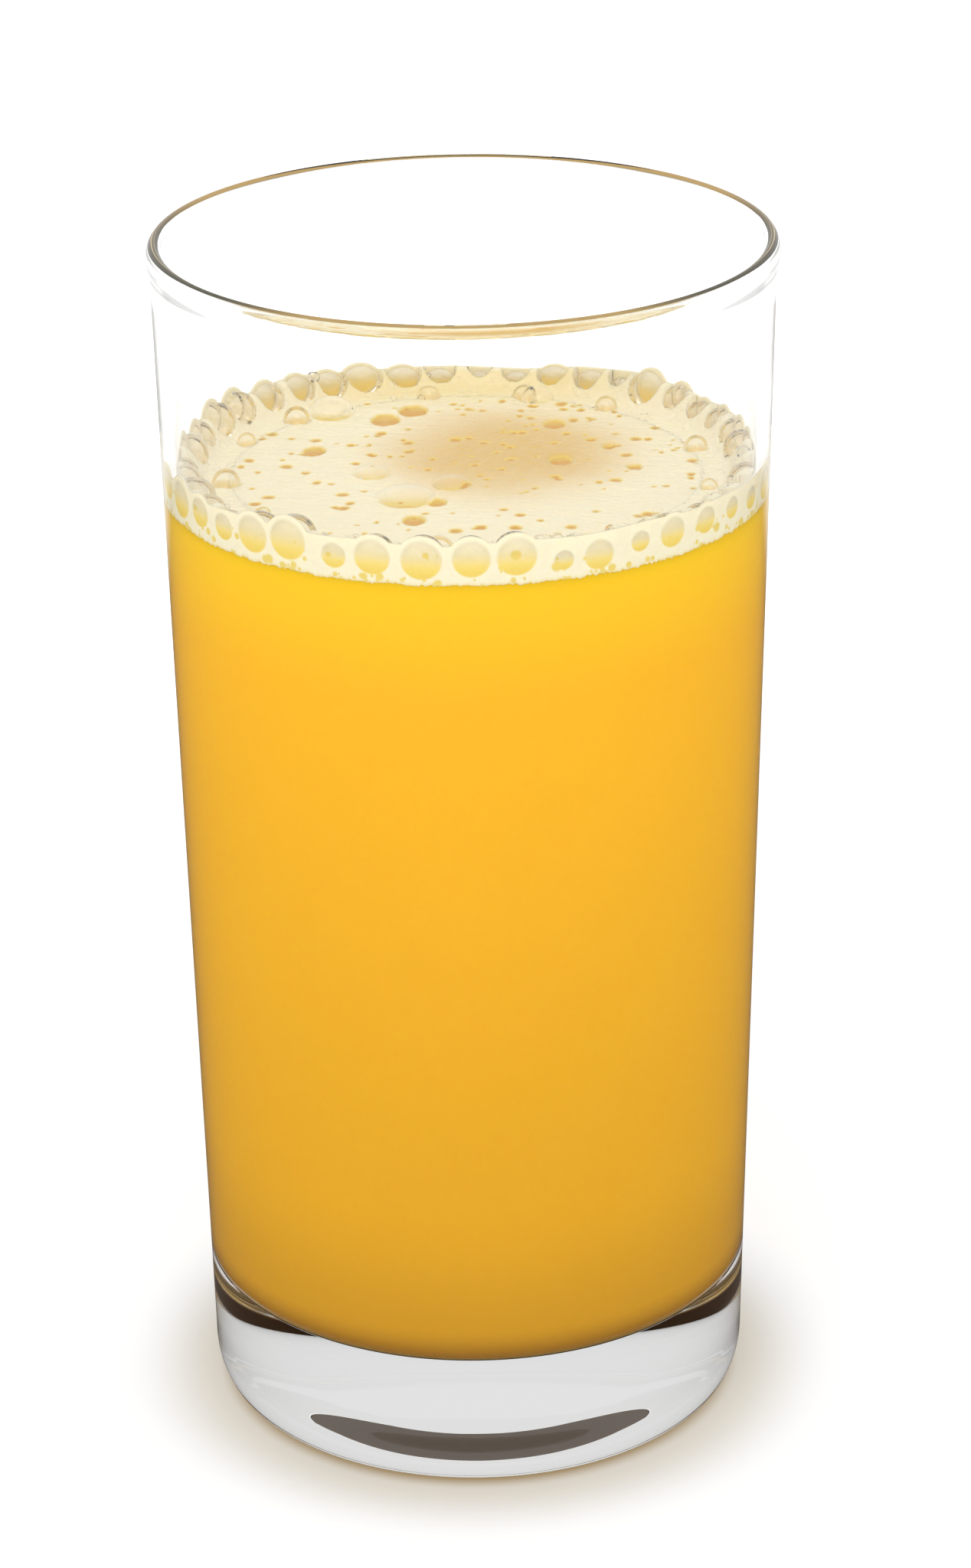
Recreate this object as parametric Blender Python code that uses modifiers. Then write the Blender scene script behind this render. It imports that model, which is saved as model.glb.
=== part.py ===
"""A tall, heavy-based tumbler of orange juice with a layer of froth on top.

Three pieces stand on one axis: the glass, the juice that fills it to its level, and the froth
that floats on the juice. The froth is a thin film in the middle and a collar of bubbles along
the wall. Sizes are in metres, +Z is up and the origin is the centre of the glass's foot.
"""

import math
import random

import bmesh
import bpy
from mathutils import Matrix

# The glass
HEIGHT = 0.14875
RIM_RADIUS = 0.037  # outside, at the widest part of the lip
BASE_RADIUS = 0.03353  # outside, where the round corner of the foot ends
CORNER_WIDTH = 0.0030  # the round corner between foot and wall
CORNER_HEIGHT = 0.0055
FOOT_RING_WIDTH = 0.0103  # flat ring that the glass stands on
PUNT_DEPTH = 0.00037  # how far the underside is dished inside that ring
PUNT_SLOPE = 0.0074  # width over which the dish rises from the ring
FLOOR_HEIGHT = 0.0166  # thickness of the heavy base
FLOOR_CORNER = 0.0030  # round corner of the inside
LIP_THICKNESS = 0.0020
LIP_HEIGHT = 0.0032
LIP_PROUD = 0.0003  # how far the lip stands out from the line of the wall
LIP_WRAP = 38  # degrees that the lip's round section goes on below its widest part
WALL_AT_LIP = 0.0014
WALL_AT_FLOOR = 0.0020

# What it holds
GAP = 0.0003  # between pieces that touch
JUICE_LEVEL = 0.11805
FILM_LEVEL = 0.11995  # top of the froth in the middle
CREST_LEVEL = 0.12305  # top of the fine froth along the wall
CREST_REACH = 0.0042  # how far that froth reaches in from the wall
CREST_SLOPE = 0.7  # share of that reach in which it curves down to the film

# The bubbles that stand along the wall, each with a hollow seen through the glass
WALL_BUBBLES = 42
WALL_SEED = 7
WALL_SPREAD = (0.8, 1.25, 1.0)  # least, most and usual width, before they share out the wall
HOLLOW_SHARE = 0.37  # radius of a hollow, over the stretch of wall that its bubble has
HOLLOW_BOTTOM = 0.11945  # height at which the hollows begin
HOLLOW_JITTER = (-0.0002, 0.0004)
SKIN = 0.00065  # froth round a hollow
PRESSED = 0.45  # how far a bubble's centre is from the glass, over its radius

# Larger bubbles in the film: place, radius and height
FILM_DOMES = {
    "wide": (-0.0071, -0.0099, 0.0036, 0.0013),
    "beside_wide": (-0.0018, -0.0052, 0.0023, 0.0010),
    "left": (-0.0113, -0.0009, 0.0023, 0.0009),
    "back_left": (-0.0168, 0.0219, 0.0030, 0.0021),
    "back_right": (0.0090, 0.0268, 0.0021, 0.0016),
}
# Open pits where a bubble has burst: place and radius
FILM_PITS = {
    "back_one": (-0.0100, 0.0194, 0.0018),
    "back_two": (-0.0066, 0.0229, 0.0018),
    "back_right": (0.0109, 0.0170, 0.0014),
    "middle_right": (0.0113, 0.0034, 0.0014),
    "left": (-0.0184, 0.0079, 0.0014),
    "front": (-0.0060, -0.0174, 0.0013),
    "beside_wide": (-0.0034, -0.0112, 0.0011),
}
PIT_DEPTH = 0.0007
# Small bubbles that lean on the crest, one in each stretch of it
LEANING_BUBBLES = 12
LEANING_SEED = 11
LEANING_RADII = (0.0010, 0.0019)
LEANING_PLACES = (0.2, 0.8)  # where along its stretch one may be

# How finely round shapes are cut into faces
TURN_STEPS = 64
INSIDE_POINTS = 6
LIP_POINTS = 11
FOOT_POINTS = 7
PUNT_POINTS = 4
SLOPE_POINTS = 5
BUBBLE_FACETS = (10, 6)  # round a bubble, and from its top to its bottom
HOLLOW_FACETS = (10, 5)
WELD = 0.000004  # corners nearer than this become one


def wall_outside(z):
    """Radius of the glass's outer wall at a height."""
    rise = (z - CORNER_HEIGHT) / (HEIGHT - CORNER_HEIGHT)
    return BASE_RADIUS + (RIM_RADIUS - LIP_PROUD - BASE_RADIUS) * rise


def wall_inside(z):
    """Radius of the glass's inner wall at a height."""
    rise = (z - FLOOR_HEIGHT) / (HEIGHT - FLOOR_HEIGHT)
    return wall_outside(z) - (WALL_AT_FLOOR + (WALL_AT_LIP - WALL_AT_FLOOR) * rise)


def arc(centre, radii, start, end, count):
    """Points on an ellipse's arc, with angles in degrees from the outer side."""
    points = []
    for i in range(count):
        angle = math.radians(start + (end - start) * i / (count - 1))
        x = centre[0] + radii[0] * math.cos(angle)
        points.append((x, centre[1] + radii[1] * math.sin(angle)))
    return points


def material(name, colour, roughness, alpha=1.0):
    made = bpy.data.materials.new(name)
    made.use_nodes = True
    shader = made.node_tree.nodes["Principled BSDF"]
    shader.inputs["Base Color"].default_value = (*colour, 1.0)
    shader.inputs["Roughness"].default_value = roughness
    shader.inputs["Metallic"].default_value = 0.0
    shader.inputs["Alpha"].default_value = alpha
    made.diffuse_color = (*colour, alpha)
    return made


def collection(name):
    made = bpy.data.collections.new(name)
    bpy.context.scene.collection.children.link(made)
    return made


def mesh_object(name, bm, home):
    """Turns a bmesh into an object in a collection."""
    mesh = bpy.data.meshes.new(name)
    bm.to_mesh(mesh)
    bm.free()
    made = bpy.data.objects.new(name, mesh)
    home.objects.link(made)
    return made


def turned(name, profile, home):
    """A solid turned about +Z. The profile runs down its outer side."""
    bm = bmesh.new()
    points = [bm.verts.new((x, 0.0, z)) for x, z in profile]
    for point, following in zip(points, points[1:]):
        bm.edges.new((point, following))
    made = mesh_object(name, bm, home)
    screw = made.modifiers.new("turn", "SCREW")
    screw.angle = math.tau
    screw.steps = TURN_STEPS
    screw.render_steps = TURN_STEPS
    screw.use_merge_vertices = True
    screw.merge_threshold = 1e-5
    return made


def ball(name, place, radius, home, facets=BUBBLE_FACETS, turn=None, height=None):
    """A faceted sphere at a place, perhaps turned, or flattened to a given height."""
    bm = bmesh.new()
    bmesh.ops.create_uvsphere(bm, u_segments=facets[0], v_segments=facets[1], radius=radius)
    if height is not None:
        bmesh.ops.scale(bm, vec=(1.0, 1.0, height / radius), verts=bm.verts)
    if turn is not None:
        bmesh.ops.rotate(bm, matrix=turn, verts=bm.verts)
    bmesh.ops.translate(bm, vec=place, verts=bm.verts)
    return mesh_object(name, bm, home)


def apply_modifiers(target):
    graph = bpy.context.evaluated_depsgraph_get()
    mesh = bpy.data.meshes.new_from_object(target.evaluated_get(graph))
    target.modifiers.clear()
    target.data = mesh


def combine(target, operation, others):
    """Applies one Boolean with a whole collection, and removes that collection.

    The solver is MANIFOLD because EXACT leaves open edges where the hollows cut the bubbles.
    """
    boolean = target.modifiers.new(operation.lower(), "BOOLEAN")
    boolean.operation = operation
    boolean.operand_type = "COLLECTION"
    boolean.collection = others
    boolean.solver = "MANIFOLD"
    apply_modifiers(target)
    for other in list(others.objects):
        bpy.data.objects.remove(other)
    bpy.data.collections.remove(others)


def weld(target):
    """Joins corners that nearly touch, which would leave slivers."""
    bm = bmesh.new()
    bm.from_mesh(target.data)
    bmesh.ops.triangulate(bm, faces=bm.faces)
    bmesh.ops.remove_doubles(bm, verts=bm.verts, dist=WELD)
    bmesh.ops.dissolve_degenerate(bm, dist=WELD / 2, edges=bm.edges)
    bm.to_mesh(target.data)
    bm.free()


def glass_profile():
    """Inner floor, inner wall, lip, outer wall, foot and dished underside."""
    floor_edge = wall_inside(FLOOR_HEIGHT + FLOOR_CORNER)
    inside_centre = (floor_edge - FLOOR_CORNER, FLOOR_HEIGHT + FLOOR_CORNER)
    inside = arc(inside_centre, (FLOOR_CORNER, FLOOR_CORNER), -90, 0, INSIDE_POINTS)

    lip_centre = (RIM_RADIUS - LIP_THICKNESS / 2, HEIGHT - LIP_HEIGHT / 2)
    lip_radii = (LIP_THICKNESS / 2, LIP_HEIGHT / 2)
    lip = arc(lip_centre, lip_radii, 180 + LIP_WRAP, -LIP_WRAP, LIP_POINTS)

    foot_centre = (BASE_RADIUS - CORNER_WIDTH, CORNER_HEIGHT)
    foot = arc(foot_centre, (CORNER_WIDTH, CORNER_HEIGHT), 0, -90, FOOT_POINTS)

    ring_inside = foot_centre[0] - FOOT_RING_WIDTH
    punt = []
    for i in range(PUNT_POINTS):
        share = i / (PUNT_POINTS - 1)
        rise = (share + share**2 * (3.0 - 2.0 * share)) / 2
        punt.append((ring_inside - PUNT_SLOPE * share, PUNT_DEPTH * rise))
    return [(0.0, FLOOR_HEIGHT), *inside, *lip, *foot, *punt, (0.0, PUNT_DEPTH)]


def juice_profile():
    """The juice, a gap clear of the glass."""
    surface_edge = wall_inside(JUICE_LEVEL) - GAP
    corner = FLOOR_CORNER - GAP
    corner_height = FLOOR_HEIGHT + FLOOR_CORNER
    corner_centre = (wall_inside(corner_height) - GAP - corner, corner_height)
    bottom = arc(corner_centre, (corner, corner), 0, -90, INSIDE_POINTS)
    return [
        (0.0, JUICE_LEVEL),
        (surface_edge, JUICE_LEVEL),
        *bottom,
        (0.0, FLOOR_HEIGHT + GAP),
    ]


def fine_froth_profile():
    """The film, which curves up to a crest along the wall.

    It runs on past the wall and below the juice's level, where space_profile ends it.
    """
    beyond = wall_inside(CREST_LEVEL) + GAP
    below = JUICE_LEVEL - GAP
    foot_of_slope = (wall_inside(CREST_LEVEL) - GAP - CREST_REACH, CREST_LEVEL)
    slope_radii = (CREST_REACH * CREST_SLOPE, CREST_LEVEL - FILM_LEVEL)
    slope = arc(foot_of_slope, slope_radii, -90, -8, SLOPE_POINTS)
    return [(0.0, FILM_LEVEL), *slope, (beyond, CREST_LEVEL), (beyond, below), (0.0, below)]


def space_profile():
    """The space that froth may fill, a gap clear of the wall and of the juice."""
    bottom = JUICE_LEVEL + GAP
    return [
        (0.0, HEIGHT),
        (wall_inside(HEIGHT) - GAP, HEIGHT),
        (wall_inside(bottom) - GAP, bottom),
        (0.0, bottom),
    ]


def wall_hollows():
    """Angle, radius and centre height of each wall bubble's hollow, once round the glass.

    Drawn widths are scaled so that together they fill the wall's circumference.
    """
    draw = random.Random(WALL_SEED)
    widths = [draw.triangular(*WALL_SPREAD) for _ in range(WALL_BUBBLES)]
    around = math.tau * wall_inside(CREST_LEVEL)
    scale = around / sum(widths)
    walked = 0.0
    hollows = []
    for width in widths:
        angle = math.tau * (walked + width * scale / 2) / around
        walked += width * scale
        radius = width * scale * HOLLOW_SHARE
        height = HOLLOW_BOTTOM + radius + draw.uniform(*HOLLOW_JITTER)
        hollows.append((angle, radius, height))
    return hollows


def leaning_bubbles():
    """Place and radius of each small bubble that leans on the crest."""
    draw = random.Random(LEANING_SEED)
    bubbles = []
    for i in range(LEANING_BUBBLES):
        angle = math.tau * (i + draw.uniform(*LEANING_PLACES)) / LEANING_BUBBLES
        radius = draw.uniform(*LEANING_RADII)
        reach = wall_inside(FILM_LEVEL) - CREST_REACH - radius
        bubbles.append((reach * math.cos(angle), reach * math.sin(angle), radius))
    return bubbles


def by_wall(angle, height, inset):
    """A point in from the froth's outer side."""
    radius = wall_inside(height) - GAP - inset
    return (radius * math.cos(angle), radius * math.sin(angle), height)


def add_bubbles(froth):
    """Fuses the wall bubbles, the film's domes and the leaning bubbles to the froth."""
    bubbles = collection("froth_bubbles")
    for i, (angle, radius, height) in enumerate(wall_hollows()):
        size = radius + SKIN
        ball(f"wall_bubble_{i}", by_wall(angle, height, PRESSED * size), size, bubbles)
    for name, (x, y, radius, height) in FILM_DOMES.items():
        ball(f"dome_{name}", (x, y, FILM_LEVEL), radius, bubbles, height=height)
    for i, (x, y, radius) in enumerate(leaning_bubbles()):
        ball(f"leaning_bubble_{i}", (x, y, FILM_LEVEL), radius, bubbles)
    combine(froth, "UNION", bubbles)


def keep_inside_glass(froth):
    """Flattens the bubbles against the wall. The mould's corners are between the froth's."""
    space = collection("froth_space")
    mould = turned("space", space_profile(), space)
    mould.rotation_euler.z = math.pi / TURN_STEPS
    combine(froth, "INTERSECT", space)


def cut_hollows(froth):
    """Opens the wall bubbles towards the glass, and the pits in the film."""
    hollows = collection("froth_hollows")
    on_its_side = Matrix.Rotation(math.pi / 2, 3, "Y")
    for i, (angle, radius, height) in enumerate(wall_hollows()):
        facing_wall = Matrix.Rotation(angle, 3, "Z") @ on_its_side
        place = by_wall(angle, height, 0.0)
        ball(f"hollow_{i}", place, radius, hollows, HOLLOW_FACETS, turn=facing_wall)
    for name, (x, y, radius) in FILM_PITS.items():
        ball(f"pit_{name}", (x, y, FILM_LEVEL), radius, hollows, height=PIT_DEPTH)
    combine(froth, "DIFFERENCE", hollows)


def build_glass(home):
    glass = turned("glass", glass_profile(), home)
    glass.data.materials.append(material("clear glass", (0.93, 0.95, 0.94), 0.02, 0.3))
    return glass


def build_juice(home):
    juice = turned("juice", juice_profile(), home)
    juice.data.materials.append(material("orange juice", (0.93, 0.47, 0.03), 0.25))
    return juice


def build_froth(home):
    froth = turned("froth", fine_froth_profile(), home)
    apply_modifiers(froth)
    add_bubbles(froth)
    keep_inside_glass(froth)
    cut_hollows(froth)
    weld(froth)
    froth.data.materials.append(material("cream froth", (0.95, 0.84, 0.56), 0.35))
    return froth


def main():
    for old in list(bpy.data.objects):
        bpy.data.objects.remove(old)
    home = collection("glass of orange juice")
    for piece in (build_glass(home), build_juice(home), build_froth(home)):
        piece.data.shade_smooth()


main()
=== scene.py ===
"""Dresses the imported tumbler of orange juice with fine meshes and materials.

The glass is a clear turned shell. The juice fills it to its level. Over it lies the froth: a
film in the middle and a collar along the wall, whose larger bubbles are clear films that stand
in hollows of the fine froth. Sizes are in metres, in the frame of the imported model.
"""

import math
import random

import bmesh
import bpy
import numpy as np
from bpy.props import FloatProperty, FloatVectorProperty, IntProperty, PointerProperty
from mathutils import Matrix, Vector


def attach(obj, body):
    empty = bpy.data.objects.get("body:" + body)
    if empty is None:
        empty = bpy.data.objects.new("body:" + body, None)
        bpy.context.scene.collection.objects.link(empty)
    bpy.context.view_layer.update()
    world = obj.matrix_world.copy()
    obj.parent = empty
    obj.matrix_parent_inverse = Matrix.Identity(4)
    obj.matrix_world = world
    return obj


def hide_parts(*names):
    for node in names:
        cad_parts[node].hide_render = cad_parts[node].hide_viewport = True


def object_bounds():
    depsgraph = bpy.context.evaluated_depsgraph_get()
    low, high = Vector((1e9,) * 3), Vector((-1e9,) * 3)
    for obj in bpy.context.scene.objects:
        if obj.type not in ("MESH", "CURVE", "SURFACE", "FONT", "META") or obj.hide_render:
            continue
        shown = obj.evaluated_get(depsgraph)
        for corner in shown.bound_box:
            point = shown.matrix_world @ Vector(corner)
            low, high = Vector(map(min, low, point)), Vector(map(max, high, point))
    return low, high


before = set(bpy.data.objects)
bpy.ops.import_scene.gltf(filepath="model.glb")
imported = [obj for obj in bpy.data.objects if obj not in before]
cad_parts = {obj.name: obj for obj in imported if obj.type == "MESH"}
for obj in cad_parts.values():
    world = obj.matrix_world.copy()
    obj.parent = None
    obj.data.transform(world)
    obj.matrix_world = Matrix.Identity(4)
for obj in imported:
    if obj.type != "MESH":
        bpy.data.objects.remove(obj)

bl_info = {
    "name": "Glass of Orange Juice",
    "version": (1, 0, 0),
    "blender": (4, 5, 0),
    "location": "View3D > Sidebar > Orange Juice",
    "description": "Makes a tumbler of frothy orange juice around its packed model",
    "category": "Add Mesh",
}

BODY = "root"
CAD_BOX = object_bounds()
GLASS_TOP = CAD_BOX[1].z

MM = 0.001
WHITE = (1.0, 1.0, 1.0, 1.0)

GLASS_IOR = 1.5
JUICE_IOR = 1.34
BUBBLE_IOR = 1.33

PAINTED_GLOW_TURNS = 7.0  # turns of light in the glass after which a painted glow stands in for the light that the wall leads
PAINTED_GLOW_FRONT = 0.022  # how far left and right the painted glow keeps its front colour
PAINTED_GLOW_SIDE = 0.034  # where the painted glow's side colour is reached

JUICE_EDGE = 0.0050  # height over which the juice's painted shade at its bottom edge fades
JUICE_FOOT = 0.022  # height of the juice's painted shade at its foot
JUICE_GLOW = 0.016  # how far down from its level the juice is painted brighter
EDGE_SHARE = 0.54  # part of the juice's painted brightness that is gained over its edge
FOOT_SHARE = 0.24  # part that is gained over its foot
BODY_SHARE = 0.22  # part that is gained over the rest of its height

GRAIN_TONE = (0.80, 0.62, 0.28)  # colour between the finest bubbles
FROTH_WAVES = ((0.00007, 0.0016, 4), (0.00005, 0.006, 6))  # height, wavelength and seed of each
PIT_STRETCH = 1.35  # how much longer the pits are front to back than across
SHEET = 0.00028  # thickness of the sheet of froth against the glass
FILM_GAP = 0.0020  # from the foot of the crest's slope in to the film's edge
COLLAR_GAP = 0.0025  # from there in to the collar's inner edge, which runs under the film

PAINTED_UNDER_FOOT = (0.0300, 0.0335)  # distances from the axis where the floor's painted shadow under the foot ends
PAINTED_SHADOW_RING = (0.033, 0.043)  # where its warm painted contact shadow round the foot ends
NEAR_GLOW = (0.032, 0.050)  # where its first painted glow begins and is full, which leaves the floor round the foot darker
FAR_GLOW = (0.10, 0.55)  # where its second painted glow begins and is full
BASE_PAINTED_DARK = (0.10, 0.25)  # where the painted dark that the base shows, in place of the shadow behind the glass, ends
WALL_PAINTED_DARK = (0.27, 0.32)  # behind the glass: where the painted dark reflection in the wall gets paler

LAMP_PLACE = (-0.06, -0.62, 0.85)
LAMP_TARGET = (0.0, 0.0, 0.08)

PHOTO_SIZE = (1268, 2048)  # pixels
PHOTO_FOCAL = 6000  # pixels
SENSOR = 36.0  # millimetres, along the longer side


def length(name, text, default, unit="LENGTH"):
    """A size that can be changed, in metres."""
    return FloatProperty(name=name, description=text, default=default, unit=unit, precision=5)


def share(name, text, default, top=1.0):
    """A ratio that can be changed, from 0 to its top."""
    return FloatProperty(name=name, description=text, default=default, min=0.0, max=top)


def count(name, text, default, least=1):
    """A whole number that can be changed."""
    return IntProperty(name=name, description=text, default=default, min=least)


def colour(name, text, default):
    return FloatVectorProperty(
        name=name, description=text, default=default, size=3, min=0.0, max=1.0, subtype="COLOR"
    )


class TumblerSizes(bpy.types.PropertyGroup):
    """Sizes and colour of the glass."""

    height: length("Height", "From the foot to the top of the lip", GLASS_TOP)
    rim_radius: length("Rim radius", "Outside, at the widest part of the lip", 0.037)
    base_radius: length("Base radius", "Outside, where the foot's round corner ends", 0.03353)
    corner_width: length("Corner width", "Of the round corner between foot and wall", 0.0030)
    corner_height: length("Corner height", "Of the round corner between foot and wall", 0.0055)
    foot_ring: length("Foot ring", "Width of the flat ring that it stands on", 0.0103)
    punt_depth: length("Punt depth", "How far the underside is dished", 0.00037)
    punt_slope: length("Punt slope", "Width over which the dish rises", 0.0074)
    floor_height: length("Floor height", "Thickness of the heavy base", 0.0166)
    floor_corner: length("Floor corner", "Round corner of the inside", 0.003)
    lip_thickness: length("Lip thickness", "Thickness of the rounded lip", 0.0020)
    lip_height: length("Lip height", "Height of the rounded lip", 0.0032)
    lip_proud: length("Lip proud", "How far the lip stands out from the wall", 0.0003)
    wall_at_lip: length("Wall at lip", "Thickness of the wall under the lip", 0.0014)
    wall_at_floor: length("Wall at floor", "Thickness of the wall at the floor", 0.0020)
    segments: count("Segments", "Facets round the glass", 288, 12)
    tint: colour("Tint", "Colour of the glass", (0.985, 0.995, 0.99))
    # Painted glow: colours that the glass glows with after many turns, warm at the front and dark at the
    # sides
    painted_glow: colour("Guided light", "Colour that the wall leads to the lip", (0.52, 0.34, 0.12))
    painted_glow_side: colour("Guided light at the sides", "The same, left and right", (0.07, 0.06, 0.03))


class DrinkSizes(bpy.types.PropertyGroup):
    """Levels and colours of the juice and its froth."""

    juice_level: length("Juice level", "Top of the juice", 0.11805)
    film_level: length("Film level", "Top of the froth in the middle", 0.11995)
    crest_level: length("Crest level", "Top of the fine froth along the wall", 0.12305)
    crest_reach: length("Crest reach", "How far that froth reaches in", 0.0042)
    into_wall: length("Into wall", "How far juice and froth reach into the glass", 0.00012)
    juice: colour("Juice", "Colour of the juice", (0.91, 0.465, 0.017))
    # Painted light and shade: the juice is painted brighter under the froth and darker at its foot
    juice_painted_light: colour("Top juice", "Colour of the juice under the froth", (0.94, 0.55, 0.019))
    juice_painted_shade: colour("Dark juice", "Colour of the juice at its foot", (0.24, 0.11, 0.02))
    gold: colour("Gold", "Colour of juice that pools in a bubble", (0.84, 0.60, 0.11))
    juice_deep: colour("Deep juice", "Colour of juice seen in open pits", (0.70, 0.35, 0.03))
    cream: colour("Cream", "Colour of the pale froth", (0.97, 0.85, 0.60))
    # Painted reflection: tan that stands for darker surroundings mirrored in the middle of the film
    tan: colour("Tan", "Colour of the film where the froth is thin", (0.74, 0.46, 0.11))
    rim_line: colour("Rim line", "Colour of a bubble's outline", (0.86, 0.80, 0.60))


class BubbleSizes(bpy.types.PropertyGroup):
    """How the bubbles are sized and spread."""

    around_wall: count("Around the wall", "Bubbles that stand along the wall", 42)
    wall_seed: count("Wall seed", "Seed of the wall bubbles' widths", 7)
    vary_seed: count("Vary seed", "Seed of how far they differ from the packed ones", 2)
    least_width: share("Least width", "Against the usual one", 0.8, 4.0)
    most_width: share("Most width", "Against the usual one", 1.25, 4.0)
    hollow_share: share("Hollow share", "A hollow's radius over its stretch of wall", 0.37)
    hollow_bottom: length("Hollow bottom", "Height at which the hollows begin", 0.11945)
    skin: length("Skin", "From a hollow's radius to its bubble's", 0.00005)
    pressed: share("Pressed", "A bubble's distance from the wall over its radius", 0.45)
    leaning: count("Leaning", "Bubbles that lean on the crest", 12)
    leaning_seed: count("Leaning seed", "Seed of those bubbles", 11)
    tiny: count("Tiny bubbles", "Tiny bubbles along the crest", 300)
    tiny_seed: count("Tiny seed", "Seed of the tiny bubbles", 23)
    spots: count("Wall spots", "Tiny bubbles seen in the froth at the wall", 260)
    specks: count("Film specks", "Tiny open pits in the film", 210)


class StageSettings(bpy.types.PropertyGroup):
    """Floor, lights and camera."""

    floor_colour: colour("Floor", "Colour of the floor", (0.90, 0.895, 0.885))
    # Painted shadow: a warm contact shadow round the foot, and a dark brown one under it
    floor_painted_shadow: colour("Floor at the foot", "Colour of the floor close to the glass", (0.84, 0.80, 0.71))
    floor_painted_under_shadow: colour("Floor under the foot", "Colour of the floor under it", (0.42, 0.27, 0.09))
    camera_back: length("Camera back", "How far the camera is from the axis", 0.5182)
    camera_height: length("Camera height", "Height of the camera", 0.29635)
    camera_side: length("Camera side", "How far right of the axis it is", 0.0018)
    pitch: FloatProperty(
        name="Pitch",
        description="How far the camera looks down",
        default=math.radians(22.727),
        unit="ROTATION",
    )
    roll: FloatProperty(
        name="Roll",
        description="How far the camera is turned clockwise",
        default=math.radians(0.755),
        unit="ROTATION",
    )


class JuiceGlass(bpy.types.PropertyGroup):
    """Everything that can be changed."""

    tumbler: PointerProperty(type=TumblerSizes)
    drink: PointerProperty(type=DrinkSizes)
    bubbles: PointerProperty(type=BubbleSizes)
    stage: PointerProperty(type=StageSettings)


class Flow:
    """One output of a node. Python arithmetic on it adds Math nodes."""

    def __init__(self, tree, socket):
        self.tree = tree
        self.socket = socket

    def math(self, operation, *values):
        inputs = dict(enumerate(values))
        return self.tree.node(self.tree.math_node, {"operation": operation}, inputs)

    def __add__(self, other):
        return self.math("ADD", self, other)

    def __radd__(self, other):
        return self.math("ADD", other, self)

    def __sub__(self, other):
        return self.math("SUBTRACT", self, other)

    def __rsub__(self, other):
        return self.math("SUBTRACT", other, self)

    def __mul__(self, other):
        return self.math("MULTIPLY", self, other)

    def __rmul__(self, other):
        return self.math("MULTIPLY", other, self)

    def __truediv__(self, other):
        return self.math("DIVIDE", self, other)

    def __rtruediv__(self, other):
        return self.math("DIVIDE", other, self)

    def __pow__(self, other):
        return self.math("POWER", self, other)

    def least(self, other):
        return self.math("MINIMUM", self, other)

    def most(self, other):
        return self.math("MAXIMUM", self, other)

    def size(self):
        return self.math("ABSOLUTE", self)

    def step(self, start, end):
        """Rises smoothly from 0 at start to 1 at end."""
        inputs = {"Value": self, "From Min": start, "From Max": end}
        return self.tree.node("ShaderNodeMapRange", {"interpolation_type": "SMOOTHSTEP"}, inputs)

    def output(self, name):
        """Another output of the same node."""
        return Flow(self.tree, self.socket.node.outputs[name])


class Tree:
    """Builds a node tree, one call for each node."""

    math_node = "ShaderNodeMath"

    def __init__(self, tree):
        self.tree = tree

    def node(self, kind, settings=None, inputs=None, output=0):
        """Adds a node: its settings first, then the values or links of its sockets."""
        made = self.tree.nodes.new(kind)
        for key, value in (settings or {}).items():
            setattr(made, key, value)
        for key, value in (inputs or {}).items():
            if isinstance(value, Flow):
                self.tree.links.new(value.socket, made.inputs[key])
            elif value is not None:
                made.inputs[key].default_value = value
        return Flow(self, made.outputs[output]) if len(made.outputs) else made

    def place(self):
        """Where on the piece it is."""
        return self.node("ShaderNodeTexCoord", output="Object")

    def attribute(self, name):
        """A value that the mesh holds for each of its points."""
        return self.node("ShaderNodeAttribute", {"attribute_name": name}, output="Fac")

    def see_through(self, tint=WHITE):
        return self.node("ShaderNodeBsdfTransparent", {}, {"Color": tint})

    def mirror(self, roughness):
        return self.node("ShaderNodeBsdfGlossy", {}, {"Color": WHITE, "Roughness": roughness})

    def blend(self, factor, first, second):
        """Mixes two colours."""
        settings = {"data_type": "RGBA"}
        inputs = {0: factor, 6: opaque(first), 7: opaque(second)}
        return self.node("ShaderNodeMix", settings, inputs, output=2)

    def shade(self, factor, first, second):
        """Mixes two shaders."""
        return self.node("ShaderNodeMixShader", {}, {0: factor, 1: first, 2: second})


def opaque(value):
    return value if isinstance(value, Flow) else (*value, 1.0)


def finish(name):
    """A new, empty material and its tree."""
    made = bpy.data.materials.new(name)
    made.use_nodes = True
    made.node_tree.nodes.clear()
    return made, Tree(made.node_tree)


def principled(tree, **values):
    """A Principled shader, with its sockets named in words joined by underscores."""
    inputs = {key.replace("_", " ").title().replace("Ior", "IOR"): value for key, value in values.items()}
    if "Base Color" in inputs:
        inputs["Base Color"] = opaque(inputs["Base Color"])
    return tree.node("ShaderNodeBsdfPrincipled", {}, inputs)


def surface(tree, shader):
    tree.node("ShaderNodeOutputMaterial", {}, {"Surface": shader})


def lamp_rays(tree):
    """1 for rays that carry a lamp's or a matt surface's light, else 0."""
    path = tree.node("ShaderNodeLightPath", output="Is Shadow Ray")
    return path.most(path.output("Is Diffuse Ray"))


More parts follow.
